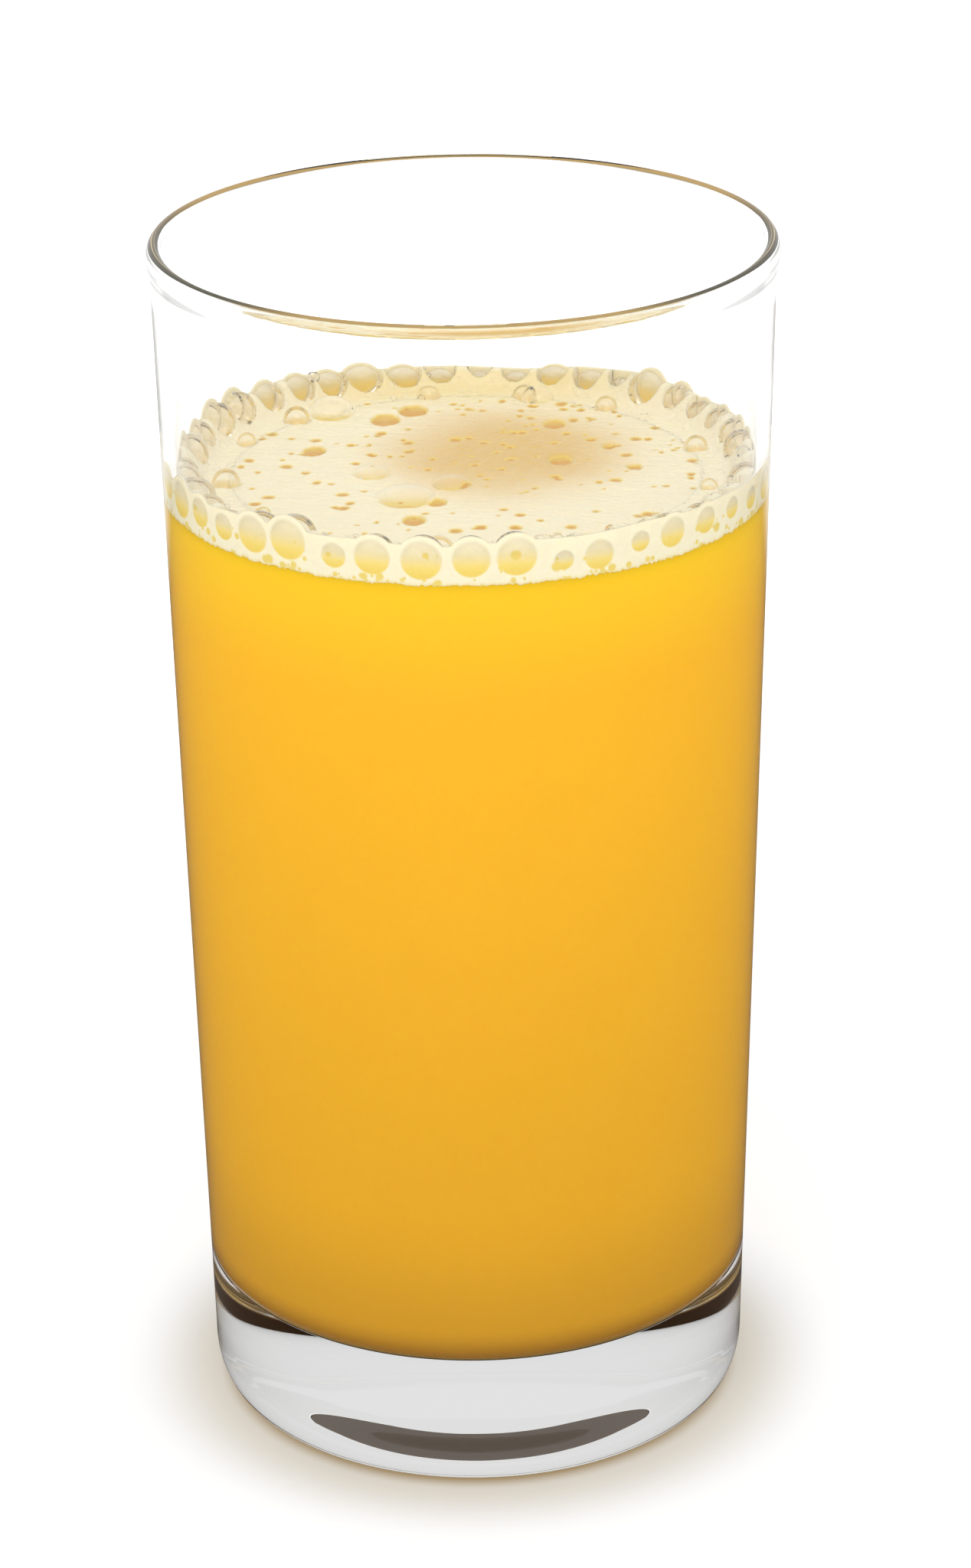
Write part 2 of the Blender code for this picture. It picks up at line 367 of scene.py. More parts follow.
def clear_glass(sizes):
    """Polished clear glass, with the faint ripples of a moulded tumbler.

    After many turns in the glass, a path ends in a painted glow, warm at the front and dark at the
    sides, that stands in for the light that the wall leads. It ends there, as following it further
    would take long.
    """
    made, tree = finish("clear glass")
    place = tree.place()
    ripple = tree.node("ShaderNodeTexNoise", {}, {"Vector": place, "Scale": 90.0, "Detail": 1.0})
    bump = tree.node("ShaderNodeBump", {}, {"Strength": 0.008, "Distance": MM, "Height": ripple})
    glass = principled(
        tree,
        base_color=tuple(sizes.tint),
        roughness=0.0,
        ior=GLASS_IOR,
        transmission_weight=1.0,
        normal=bump,
    )
    through = tree.see_through((0.97, 0.975, 0.97, 1.0))
    # Painted glow: after many turns the glass glows warm at the front and dark at the sides, in place of
    # the light that the wall leads
    x = tree.node("ShaderNodeSeparateXYZ", {}, {"Vector": place}, output="X")
    sideways = x.size().step(PAINTED_GLOW_FRONT, PAINTED_GLOW_SIDE)
    tone = tree.blend(sideways, tuple(sizes.painted_glow), tuple(sizes.painted_glow_side))
    painted_glow_emission = tree.node("ShaderNodeEmission", {}, {"Color": tone, "Strength": 1.0})
    depth = tree.node("ShaderNodeLightPath", output="Ray Depth")
    painted_glow = tree.shade(depth.step(PAINTED_GLOW_TURNS, PAINTED_GLOW_TURNS + 1.0), glass, painted_glow_emission)
    surface(tree, tree.shade(lamp_rays(tree), painted_glow, through))
    return made


def cloudy_juice(sizes, drink):
    """Opaque juice against glass: painted shade at its foot, painted light under the froth, and it
    mirrors what meets it at a flat angle.
    """
    made, tree = finish("cloudy orange juice")
    place = tree.place()
    cloud = tree.node("ShaderNodeTexNoise", {}, {"Vector": place, "Scale": 55.0, "Detail": 3.0})
    pulp = tree.node("ShaderNodeTexNoise", {}, {"Vector": place, "Scale": 900.0, "Detail": 2.0})
    shade = (cloud - 0.5) * 0.35 + (pulp - 0.5) * 0.25 + 0.5
    paler = tuple(min(1.0, c * 1.05 + 0.004) for c in drink.juice)
    darker = tuple(c * 0.94 for c in drink.juice)
    z = tree.node("ShaderNodeSeparateXYZ", {}, {"Vector": place}, output="Z")
    # Painted shade: the juice darkens towards its foot, and most over its bottom edge
    floor = sizes.floor_height
    edge_light = z.step(floor - 0.0002, floor + JUICE_EDGE) * EDGE_SHARE
    foot_light = z.step(floor, floor + JUICE_FOOT) * FOOT_SHARE
    body_light = z.step(floor + JUICE_EDGE, drink.juice_level) * BODY_SHARE
    light = edge_light + (foot_light + body_light)
    # Painted light: the juice is brighter and yellower just under the froth
    painted_light_under_froth = z.step(drink.juice_level - JUICE_GLOW, drink.juice_level)
    mixed = tree.blend(painted_light_under_froth, tree.blend(shade, darker, paler), tuple(drink.juice_painted_light))
    body = principled(
        tree,
        base_color=tree.blend(light, tuple(drink.juice_painted_shade), mixed),
        roughness=0.6,
        specular_ior_level=0.0,
        subsurface_weight=0.35,
        subsurface_radius=(0.004, 0.002, 0.0004),
        subsurface_scale=1.0,
    )
    against_glass = tree.node("ShaderNodeFresnel", {}, {"IOR": JUICE_IOR / GLASS_IOR})
    surface(tree, tree.shade(against_glass, body, tree.mirror(0.0)))
    return made


def wet_froth(drink):
    """Cream froth of very fine bubbles, with juice in its pits and a painted reflection in tan over the
    middle of the film.
    """
    made, tree = finish("wet froth")
    place = tree.place()
    fine = tree.node("ShaderNodeTexVoronoi", {"feature": "F1"}, {"Vector": place, "Scale": 3200.0})
    coarse = tree.node("ShaderNodeTexVoronoi", {"feature": "F1"}, {"Vector": place, "Scale": 1300.0})
    blotch = tree.node("ShaderNodeTexNoise", {}, {"Vector": place, "Scale": 60.0, "Detail": 3.0})
    shows = tree.attribute("juice_shows")
    line = tree.attribute("line")

    # Painted reflection: tan over the middle of the film, broken up by a random blotch
    thinness = (tree.attribute("thin") + (blotch - 0.5) * 0.5).step(0.0, 1.0)
    film = tree.blend(thinness, tuple(drink.cream), tuple(drink.tan))
    grain = fine.step(0.15, 0.75) * 0.55 + coarse.step(0.1, 0.8) * 0.45
    dotted = tree.blend(grain * 0.16, film, GRAIN_TONE)
    golden = tree.blend(shows.step(0.0, 0.65), dotted, tuple(drink.gold))
    wet = tree.blend(shows.step(0.55, 0.9), golden, tuple(drink.juice_deep))
    coloured = tree.blend(line * 0.35, wet, tuple(drink.rim_line))
    height = (1.0 - fine) * 0.4 + (1.0 - coarse)
    bump = tree.node("ShaderNodeBump", {}, {"Strength": 0.25, "Distance": 0.0002, "Height": height})
    body = principled(
        tree,
        base_color=coloured,
        roughness=0.28,
        subsurface_weight=0.25,
        subsurface_radius=(0.0015, 0.0011, 0.0006),
        subsurface_scale=1.0,
        normal=bump,
    )
    clear = tree.attribute("clear") * (1.0 - line * 0.5)
    surface(tree, tree.shade(clear, body, tree.see_through()))
    return made


def bubble_film(drink, name, veil, rim):
    """A clear film: veil is how much of it shows in the middle, and rim how much at its edges."""
    made, tree = finish(name)
    facing = tree.node("ShaderNodeLayerWeight", {}, {"Blend": 0.5}, output="Facing")
    edge = facing ** 5.0 * rim + veil
    skin = principled(tree, base_color=tuple(drink.rim_line), roughness=0.08, ior=BUBBLE_IOR)
    through = tree.see_through()
    body = tree.shade(edge.least(1.0), through, skin)
    fresnel = tree.node("ShaderNodeFresnel", {}, {"IOR": BUBBLE_IOR})
    glossy = tree.shade(fresnel, body, tree.mirror(0.03))
    surface(tree, tree.shade(lamp_rays(tree), glossy, through))
    return made


def wall_outside(sizes, z):
    """Radius of the glass's outer wall at a height."""
    rise = (z - sizes.corner_height) / (sizes.height - sizes.corner_height)
    top = sizes.rim_radius - sizes.lip_proud
    return sizes.base_radius + (top - sizes.base_radius) * rise


def wall_inside(sizes, z):
    """Radius of the glass's inner wall at a height."""
    rise = (z - sizes.floor_height) / (sizes.height - sizes.floor_height)
    wall = sizes.wall_at_floor + (sizes.wall_at_lip - sizes.wall_at_floor) * rise
    return wall_outside(sizes, z) - wall


def arc(centre, radii, start, end, points):
    """Points on an ellipse's arc, with angles in degrees from the outer side."""
    turn = np.radians(np.linspace(start, end, points))
    return list(zip(centre[0] + radii[0] * np.cos(turn), centre[1] + radii[1] * np.sin(turn)))


def link(mesh, name):
    made = bpy.data.objects.new(name, mesh)
    bpy.context.scene.collection.objects.link(made)
    return made


def to_mesh(made):
    """Turns an object's evaluated modifiers into its plain mesh."""
    graph = bpy.context.evaluated_depsgraph_get()
    mesh = bpy.data.meshes.new_from_object(made.evaluated_get(graph))
    made.modifiers.clear()
    made.data = mesh
    mesh.shade_smooth()
    return made


def turned(name, profile, segments):
    """A closed shape turned about +Z. Its profile runs down its outer side."""
    bm = bmesh.new()
    points = [bm.verts.new((x, 0.0, z)) for x, z in profile]
    for point, following in zip(points, points[1:]):
        bm.edges.new((point, following))
    mesh = bpy.data.meshes.new(name)
    bm.to_mesh(mesh)
    bm.free()
    made = link(mesh, name)
    screw = made.modifiers.new("turn", "SCREW")
    screw.angle = math.tau
    screw.steps = segments
    screw.render_steps = segments
    screw.use_merge_vertices = True
    screw.merge_threshold = 1e-6
    return to_mesh(made)


def settle(made, material, slot, *nodes):
    """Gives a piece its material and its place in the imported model."""
    made.data.materials.clear()
    made.data.materials.append(material)
    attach(made, BODY)
    if nodes:
        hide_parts(*nodes)


def lip_profile(sizes):
    """The rounded lip, from the inner wall over the top to the outer wall."""
    widest = sizes.height - sizes.lip_height / 2
    half = sizes.lip_thickness / 2
    middle = sizes.rim_radius - half
    top = arc((middle, widest), (half, sizes.lip_height / 2), 180, 0, 17)
    fade = []
    for i in range(1, 9):
        fallen = i / 8
        swell = 0.5 + 0.5 * math.cos(math.pi * fallen)
        z = widest - sizes.lip_height * 0.75 * fallen
        inner = wall_inside(sizes, z)
        outer = wall_outside(sizes, z)
        inner_swell = wall_inside(sizes, widest) - (middle - half)
        outer_swell = sizes.rim_radius - wall_outside(sizes, widest)
        fade.append((z, inner - inner_swell * swell, outer + outer_swell * swell))
    inside = [(inner, z) for z, inner, _ in reversed(fade)]
    outside = [(outer, z) for z, _, outer in fade]
    return inside + top + outside


def tumbler_profile(sizes):
    """Floor, inner wall, lip, outer wall, foot and dished underside."""
    corner_z = sizes.floor_height + sizes.floor_corner
    corner_x = wall_inside(sizes, corner_z) - sizes.floor_corner
    corner = arc((corner_x, corner_z), (sizes.floor_corner,) * 2, -90, 0, 15)
    floor = [(corner_x * i / 8, sizes.floor_height) for i in range(8)]
    lip = lip_profile(sizes)
    inner_top = lip[0][1]
    inner_wall = []
    for i in range(1, 40):
        z = corner_z + (inner_top - corner_z) * i / 40
        inner_wall.append((wall_inside(sizes, z), z))
    outer_top = lip[-1][1]
    outer_wall = []
    for i in range(1, 40):
        z = outer_top + (sizes.corner_height - outer_top) * i / 40
        outer_wall.append((wall_outside(sizes, z), z))
    foot_x = sizes.base_radius - sizes.corner_width
    corner_radii = (sizes.corner_width, sizes.corner_height)
    foot = arc((foot_x, sizes.corner_height), corner_radii, 0, -90, 21)
    ring_x = foot_x - sizes.foot_ring
    punt = []
    for i in range(25):
        across = i / 24
        rise = 0.5 * (across + across * across * (3 - 2 * across))
        punt.append((ring_x - sizes.punt_slope * across, sizes.punt_depth * rise))
    inner = [(punt[-1][0] * (1 - i / 6), sizes.punt_depth) for i in range(1, 7)]
    return floor + corner + inner_wall + lip + outer_wall + foot + punt + inner


def juice_profile(sizes, drink):
    """The juice, reaching just into the glass so that no air shows between them."""
    reach = drink.into_wall * 0.8
    top = drink.juice_level + 0.0005
    corner_z = sizes.floor_height + sizes.floor_corner
    corner = sizes.floor_corner + reach
    edge_x = wall_inside(sizes, corner_z) + reach
    side = []
    for i in range(41):
        z = top + (corner_z - top) * i / 40
        side.append((wall_inside(sizes, z) + reach, z))
    bottom = arc((edge_x - corner, corner_z), (corner, corner), 0, -90, 15)[1:]
    inward = [((edge_x - corner) * (1 - i / 8), sizes.floor_height - reach) for i in range(1, 9)]
    surface_top = [(side[0][0] * i / 6, top) for i in range(6)]
    return surface_top + side + bottom + inward


def ripples(x, y, wavelength, seed, waves=9):
    """A smooth uneven pattern from -1 to 1 with about one wavelength."""
    draw = random.Random(seed)
    total = np.zeros_like(x)
    for _ in range(waves):
        turn = draw.uniform(0, math.tau)
        pace = math.tau / (wavelength * draw.uniform(0.6, 1.7))
        total += np.sin((x * math.cos(turn) + y * math.sin(turn)) * pace + draw.uniform(0, math.tau))
    return total / math.sqrt(waves * 2)


def rising(value, start, end):
    """0 at start, 1 at end, smooth between."""
    t = np.clip((value - start) / (end - start), 0.0, 1.0)
    return t * t * (3 - 2 * t)


def wall_cells(sizes, drink, bubbles):
    """Angle, height and radius of each hollow along the wall.

    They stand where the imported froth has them, and vary more in size.
    """
    draw = random.Random(bubbles.wall_seed)
    vary = random.Random(bubbles.vary_seed)
    spread = (bubbles.least_width, bubbles.most_width, 1.0)
    widths = [draw.triangular(*spread) for _ in range(bubbles.around_wall)]
    around = math.tau * wall_inside(sizes, drink.crest_level)
    scale = around / sum(widths)
    walked = 0.0
    made = []
    for width in widths:
        angle = math.tau * (walked + width * scale / 2) / around
        walked += width * scale
        hollow = width * scale * bubbles.hollow_share
        z = bubbles.hollow_bottom + hollow + draw.uniform(-0.0002, 0.0004)
        shift = vary.uniform(-0.010, 0.010)
        grown = vary.triangular(0.62, 1.34, 1.12)
        lowered = vary.uniform(-0.0008, 0.0) + 0.0006 * (grown - 1.0)
        made.append((angle + shift, z + lowered, hollow * grown))
    return made


def wall_bubbles(sizes, drink, bubbles):
    """Place and radius of the clear bubble that fills each hollow along the wall."""
    made = []
    for angle, z, hollow in wall_cells(sizes, drink, bubbles):
        radius = hollow + bubbles.skin
        reach = wall_inside(sizes, z) - bubbles.pressed * radius
        made.append((reach * math.cos(angle), reach * math.sin(angle), z, radius, radius))
    return made


def leaning_bubbles(sizes, drink, bubbles):
    """Bubbles on the film that lean on the crest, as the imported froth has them."""
    draw = random.Random(bubbles.leaning_seed)
    made = []
    for i in range(bubbles.leaning):
        angle = math.tau * (i + draw.uniform(0.2, 0.8)) / bubbles.leaning
        radius = draw.uniform(0.0010, 0.0019)
        reach = wall_inside(sizes, drink.film_level) - drink.crest_reach - radius
        x = reach * math.cos(angle)
        made.append((x, reach * math.sin(angle), drink.film_level, radius, radius))
    return made


FILM_DOMES = {
    "wide": (-7.1, -9.9, 3.6, 1.3),
    "beside_wide": (-1.8, -5.2, 2.3, 1.0),
    "left": (-11.3, -0.9, 2.3, 0.9),
    "back_left": (-16.8, 21.9, 3.0, 2.1),
    "back_right": (9.0, 26.8, 2.1, 1.6),
}
FILM_PITS = {
    "back_one": (-10.0, 19.4, 1.8),
    "back_two": (-6.6, 22.9, 1.8),
    "back_right": (10.9, 17.0, 1.4),
    "middle_right": (11.3, 3.4, 1.4),
    "left": (-18.4, 7.9, 1.4),
    "front": (-6.0, -17.4, 1.3),
    "beside_wide": (-3.4, -11.2, 1.1),
    "right": (20.1, 0.5, 0.9),
    "far_right": (17.3, 8.3, 0.8),
}


def film_domes(drink):
    """The larger flattened bubbles in the film."""
    made = []
    for x, y, radius, height in FILM_DOMES.values():
        made.append((x * MM, y * MM, drink.film_level, radius * MM, height * MM))
    return made


def film_specks(drink, bubbles):
    """Place and radius of the tiny open pits, thickest at the back and to the right."""
    draw = random.Random(5)
    made = []
    while len(made) < bubbles.specks:
        x = draw.uniform(-0.028, 0.028)
        y = draw.uniform(-0.028, 0.028)
        crowded = 0.35 + 0.4 * (y > 0) + 0.25 * (x > 0)
        if math.hypot(x, y) < 0.0285 and draw.random() < crowded:
            made.append((x, y, draw.triangular(0.00018, 0.00085, 0.00030)))
    return made


class Froth:
    """The froth's upper surface as a height over any place, with what shows there."""

    def __init__(self, sizes, drink, bubbles):
        self.sizes = sizes
        self.drink = drink
        walls = wall_bubbles(sizes, drink, bubbles)
        self.balls = walls + leaning_bubbles(sizes, drink, bubbles)
        self.domes = film_domes(drink)
        self.pits = [(x * MM, y * MM, radius * MM) for x, y, radius in FILM_PITS.values()]
        self.specks = film_specks(drink, bubbles)

    def crest(self, angle):
        """Height of the crest's uneven top."""
        return self.drink.crest_level + 0.00035 * ripples(np.cos(angle), np.sin(angle), 0.35, 3)

    def at(self, x, y):
        """Height, how much juice shows, and how strong the painted tan reflection is."""
        drink = self.drink
        radius = np.hypot(x, y)
        wall = wall_inside(self.sizes, drink.crest_level)
        across = np.clip((radius - (wall - drink.crest_reach)) / drink.crest_reach, 0.0, 1.0)
        crest = self.crest(np.arctan2(y, x))
        z = drink.film_level + (crest - drink.film_level) * rising(across, 0.0, 0.8)
        for height, wavelength, seed in FROTH_WAVES:
            z = z + height * ripples(x, y, wavelength, seed)
        shows = np.zeros_like(z)
        for bx, by, bz, size, _ in self.balls:
            away = (x - bx) ** 2 + (y - by) ** 2
            inside = away < size**2
            low = bz - np.sqrt(np.maximum(size**2 - away, 0.0))
            bottom = np.maximum(low, drink.juice_level + 0.0004)
            cut = inside & (bottom < z)
            z = np.where(cut, bottom, z)
            yellow = 1.0 - rising(z, drink.juice_level + 0.0008, drink.juice_level + 0.0026)
            shows = np.where(cut, np.maximum(shows, 0.42 * yellow), shows)
        # Juice shows in the domes, and more of it on their near side, which is painted shade
        for bx, by, _, size, _ in self.domes:
            away = np.sqrt((x - bx) ** 2 + (y - by) ** 2) / size
            bowl = 1.0 - rising(away, 0.55, 1.02)
            near_side_painted_shade = rising(by - y, -size, size)
            z = z - 0.0007 * bowl
            shows = np.maximum(shows, bowl * (0.15 + 0.75 * near_side_painted_shade))
        # Juice shows in the pits, a little more on their near side as painted shade
        for bx, by, size in self.pits:
            away = np.sqrt((x - bx) ** 2 + ((y - by) / PIT_STRETCH) ** 2) / (size * 1.15)
            bowl = 1.0 - rising(away, 0.75, 1.02)
            z = z - 0.0004 * bowl
            shows = np.maximum(shows, bowl * (0.72 + 0.28 * rising(by - y, -size, size)))
        for bx, by, size in self.specks:
            near = (np.abs(x - bx) < 0.0012) & (np.abs(y - by) < 0.0012)
            if near.any():
                away = np.sqrt((x[near] - bx) ** 2 + (y[near] - by) ** 2) / size
                bowl = 1.0 - rising(away, 0.5, 1.5)
                z[near] -= 0.00015 * bowl
                shows[near] = np.maximum(shows[near], 0.9 * bowl)
        # Painted reflection: a tan patch over the middle of the film, kept off the crest
        middle = np.hypot((x - 0.005) / 0.019, (y - 0.006) / 0.021)
        thin = (1.0 - rising(middle, 0.12, 1.28)) * (1.0 - rising(across, 0.0, 0.5))
        back = rising(y, 0.020, 0.031) * (1.0 - rising(across, 0.5, 1.0))
        shows = np.maximum(shows, 0.30 * back)
        return z, shows, thin


def point_values(mesh, name, values):
    """Stores a value for each point of a mesh."""
    layer = mesh.attributes.new(name, "FLOAT", "POINT")
    layer.data.foreach_set("value", np.asarray(values, dtype=np.float32).reshape(-1))


def ring_mesh(name, rows, attributes):
    """A closed mesh from rows of points that each run once round, the last joined to the first."""
    tall, wide, _ = rows.shape
    points = rows.reshape(-1, 3)
    faces = []
    for i in range(tall):
        here = i * wide
        above = ((i + 1) % tall) * wide
        for j in range(wide):
            k = (j + 1) % wide
            faces.append((here + j, here + k, above + k, above + j))
    mesh = bpy.data.meshes.new(name)
    mesh.from_pydata(points.tolist(), [], faces)
    for key, values in attributes.items():
        point_values(mesh, key, values)
    mesh.shade_smooth()
    return mesh


def wall_spots(drink, bubbles, around):
    """Tiny bubbles seen through the glass: place along the wall, height and radius."""
    draw = random.Random(31)
    made = []
    for _ in range(bubbles.spots):
        low = draw.random() < 0.65
        rise = draw.uniform(0.0, 0.0008) if low else draw.uniform(0.0008, 0.0036)
        size = draw.triangular(0.0001, 0.00075, 0.00014)
        made.append((draw.uniform(0, around), drink.juice_level + rise, size))
    return made


def ring(angle, radius, z):
    """Points once round the axis."""
    return np.stack([radius * np.cos(angle), radius * np.sin(angle), z], axis=1)


def apart(walked, place, around):
    """How far points along the wall are from a place on it, the shorter way round."""
    return (walked - place + around / 2) % around - around / 2


def collar_mesh(sizes, drink, froth):
    """The fine froth along the wall: its inner slope and crest, opened where bubbles stand."""
    columns = 1260
    angle = np.linspace(0, math.tau, columns, endpoint=False)
    inner = wall_inside(sizes, drink.film_level) - drink.crest_reach - COLLAR_GAP
    outer = wall_inside(sizes, drink.juice_level) + drink.into_wall - SHEET
    rows = []
    looks = []
    for radius in np.linspace(inner, outer, 40):
        z, shows, thin = froth.at(radius * np.cos(angle), radius * np.sin(angle))
        rows.append(ring(angle, radius, z))
        looks.append((shows, thin))
    rows[0][:, 2] -= 0.0002
    floor = np.full(columns, drink.juice_level - 0.0002)
    nothing = np.zeros(columns)
    for radius in (outer, inner):
        rows.append(ring(angle, radius, floor))
        looks.append((nothing, nothing))
    attributes = {"juice_shows": np.array([look[0] for look in looks])}
    attributes["thin"] = np.array([look[1] for look in looks])
    return ring_mesh("froth_collar", np.array(rows), attributes)


def cell_looks(cells, spots, walked, around, z, edge):
    """How much juice shows, how clear the sheet is and how dark its lines are, at points of it."""
    shows = 0.35 * (1.0 - rising(z, edge, edge + 0.0006))
    clear = np.zeros_like(z)
    line = np.zeros_like(z)
    for place, height, size in cells:
        across = apart(walked, place, around)
        near = np.abs(across) < size * 1.3
        dx = across[near] / size
        dz = (z[near] - height) / size
        away = np.sqrt(dx * dx + dz * dz)
        inside = 1.0 - rising(away, 0.90, 1.02)
        tall = 0.5 + 0.5 * dz
        pool = 0.56 * (1.0 - rising(tall, 0.05, 0.90)) + 0.06
        shows[near] = shows[near] * (1.0 - inside) + pool * inside
        clear[near] = np.maximum(clear[near], inside * rising(tall, 0.30, 0.85) * 0.40)
        rim = rising(away, 0.80, 0.95) * (1.0 - rising(away, 0.98, 1.10))
        line[near] = np.maximum(line[near], rim * rising(tall, 0.2, 0.7))
    for place, height, size in spots:
        across = np.abs(apart(walked, place, around))
        near = across < size * 1.5
        away = np.sqrt(across[near] ** 2 + (z[near] - height) ** 2) / size
        shows[near] = np.maximum(shows[near], 0.55 * (1.0 - rising(away, 0.6, 1.3)))
    return shows, clear, line


def skin_mesh(sizes, drink, bubbles, froth):
    """The sheet of froth against the glass, clear where a bubble stands behind it."""
    columns = 1800
    angle = np.linspace(0, math.tau, columns, endpoint=False)
    outer = wall_inside(sizes, drink.crest_level)
    around = math.tau * outer
    walked = angle * outer
    cells = [(turn * outer, z, size) for turn, z, size in wall_cells(sizes, drink, bubbles)]
    spots = wall_spots(drink, bubbles, around)
    edge = drink.juice_level + 0.00012 * ripples(np.cos(angle), np.sin(angle), 0.02, 8)
    edge = edge + 0.00010 * ripples(np.cos(angle), np.sin(angle), 0.10, 9)
    crest = froth.crest(angle)
    for place, height, size in cells:
        across = apart(walked, place, around)
        shell = size + 0.0004
        over = height + np.sqrt(np.maximum(shell**2 - across**2, 0.0))
        crest = np.where(np.abs(across) < shell, np.maximum(crest, over), crest)
    rows = []
    looks = []
    for inset, steps in ((0.0, 36), (SHEET, 16)):
        for i in range(steps + 1):
            risen = i / steps if inset == 0.0 else 1.0 - i / steps
            z = edge + (crest - edge) * risen
            rows.append(ring(angle, wall_inside(sizes, z) + drink.into_wall - inset, z))
            looks.append(cell_looks(cells, spots, walked, around, z, edge))
    rows.reverse()
    looks.reverse()
    attributes = {}
    for index, key in enumerate(("juice_shows", "clear", "line")):
        attributes[key] = np.array([look[index] for look in looks])
    return ring_mesh("froth_skin", np.array(rows), attributes)


def film_mesh(sizes, drink, froth):
    """The film in the middle: a fine square grid cut to a disc, with a plain underside."""
    reach = wall_inside(sizes, drink.film_level) - drink.crest_reach - FILM_GAP
    step = 0.00030
    half = int(reach / step)
    line = np.arange(-half, half + 1) * step
    x, y = np.meshgrid(line, line, indexing="ij")
    radius = np.hypot(x, y)
    kept = radius <= reach
    z, shows, thin = froth.at(x.ravel(), y.ravel())
    number = np.full(x.shape, -1)
    number[kept] = np.arange(kept.sum())
    points = np.stack([x[kept], y[kept], z.reshape(x.shape)[kept]], axis=1)
    whole = kept[:-1, :-1] & kept[1:, :-1] & kept[1:, 1:] & kept[:-1, 1:]
    a = number[:-1, :-1][whole]
    b = number[1:, :-1][whole]
    c = number[1:, 1:][whole]
    d = number[:-1, 1:][whole]
    mesh = bpy.data.meshes.new("froth_film")
    mesh.from_pydata(points.tolist(), [], np.stack([a, b, c, d], axis=1).tolist())
    for key, values in {"juice_shows": shows, "thin": thin}.items():
        point_values(mesh, key, values.reshape(x.shape)[kept])
    bm = bmesh.new()
    bm.from_mesh(mesh)
    loose = [v for v in bm.verts if not v.link_faces]
    bmesh.ops.delete(bm, geom=loose, context="VERTS")
    rim = [edge for edge in bm.edges if edge.is_boundary]
    skirt = bmesh.ops.extrude_edge_only(bm, edges=rim)["geom"]
    lower = [item for item in skirt if isinstance(item, bmesh.types.BMVert)]
    for vert in lower:
        vert.co.z = drink.juice_level
    edges = [item for item in skirt if isinstance(item, bmesh.types.BMEdge)]
    bmesh.ops.holes_fill(bm, edges=[edge for edge in edges if edge.is_boundary], sides=0)
    bmesh.ops.recalc_face_normals(bm, faces=bm.faces)
    bm.to_mesh(mesh)
    bm.free()
    mesh.shade_smooth()
    return mesh


def tiny_bubbles(sizes, drink, bubbles, froth):
    """Place and radius of the tiny bubbles along the crest and at the film's edge."""
    draw = random.Random(bubbles.tiny_seed)
    wall = wall_inside(sizes, drink.crest_level)
    made = []
    for _ in range(bubbles.tiny):
        angle = draw.uniform(0, math.tau)
        radius = draw.triangular(0.00022, 0.0010, 0.00035)
        on_crest = draw.random() < 0.7
        inset = draw.uniform(0.0, 0.0030) if on_crest else draw.uniform(0.0030, 0.0075)
        reach = wall - inset - radius * 0.5
        x = reach * math.cos(angle)
        y = reach * math.sin(angle)
        z = float(froth.at(np.array([x]), np.array([y]))[0][0])
        made.append((x, y, z + radius * 0.15, radius, radius))
    return made


def points_object(name, balls):
    """A mesh of loose points, each with a width and a height for its bubble."""
    mesh = bpy.data.meshes.new(name)
    mesh.from_pydata([ball[:3] for ball in balls], [], [])
    for key, index in {"half_width": 3, "half_height": 4}.items():
        point_values(mesh, key, [ball[index] for ball in balls])
    return link(mesh, name)


def bubble_tree(name, material):
    """Geometry Nodes that set a bubble on each point and press it against the glass."""
    group = bpy.data.node_groups.new(name, "GeometryNodeTree")
    group.is_modifier = True
    face = group.interface
    face.new_socket("Geometry", in_out="INPUT", socket_type="NodeSocketGeometry")
    face.new_socket("Subdivisions", in_out="INPUT", socket_type="NodeSocketInt")
    face.new_socket("Wall Radius", in_out="INPUT", socket_type="NodeSocketFloat")
    face.new_socket("Wall Slope", in_out="INPUT", socket_type="NodeSocketFloat")
    face.new_socket("Geometry", in_out="OUTPUT", socket_type="NodeSocketGeometry")
    tree = Tree(group)
    given = tree.node("NodeGroupInput", output="Geometry")
    kind = {"data_type": "FLOAT"}
    wide = tree.node("GeometryNodeInputNamedAttribute", kind, {"Name": "half_width"})
    tall = tree.node("GeometryNodeInputNamedAttribute", kind, {"Name": "half_height"})
    size = tree.node("ShaderNodeCombineXYZ", {}, {"X": wide, "Y": wide, "Z": tall})
    fineness = given.output("Subdivisions")
    ball = tree.node("GeometryNodeMeshIcoSphere", {}, {"Radius": 1.0, "Subdivisions": fineness})
    set_out = {"Points": given, "Instance": ball, "Scale": size}
    each = tree.node("GeometryNodeInstanceOnPoints", {}, set_out)
    real = tree.node("GeometryNodeRealizeInstances", {}, {"Geometry": each})

    place = tree.node("GeometryNodeInputPosition")
    x = tree.node("ShaderNodeSeparateXYZ", {}, {"Vector": place})
    y = x.output("Y")
    z = x.output("Z")
    reach = (x * x + y * y) ** 0.5
    limit = given.output("Wall Radius") + z * given.output("Wall Slope")
    keep = (limit / reach.most(1e-6)).least(1.0)
    pressed = tree.node("ShaderNodeCombineXYZ", {}, {"X": x * keep, "Y": y * keep, "Z": z})
    moved = tree.node("GeometryNodeSetPosition", {}, {"Geometry": real, "Position": pressed})
    smooth = tree.node("GeometryNodeSetShadeSmooth", {}, {"Geometry": moved})
    painted = tree.node("GeometryNodeSetMaterial", {}, {"Geometry": smooth, "Material": material})
    tree.node("NodeGroupOutput", {}, {"Geometry": painted})
    return group


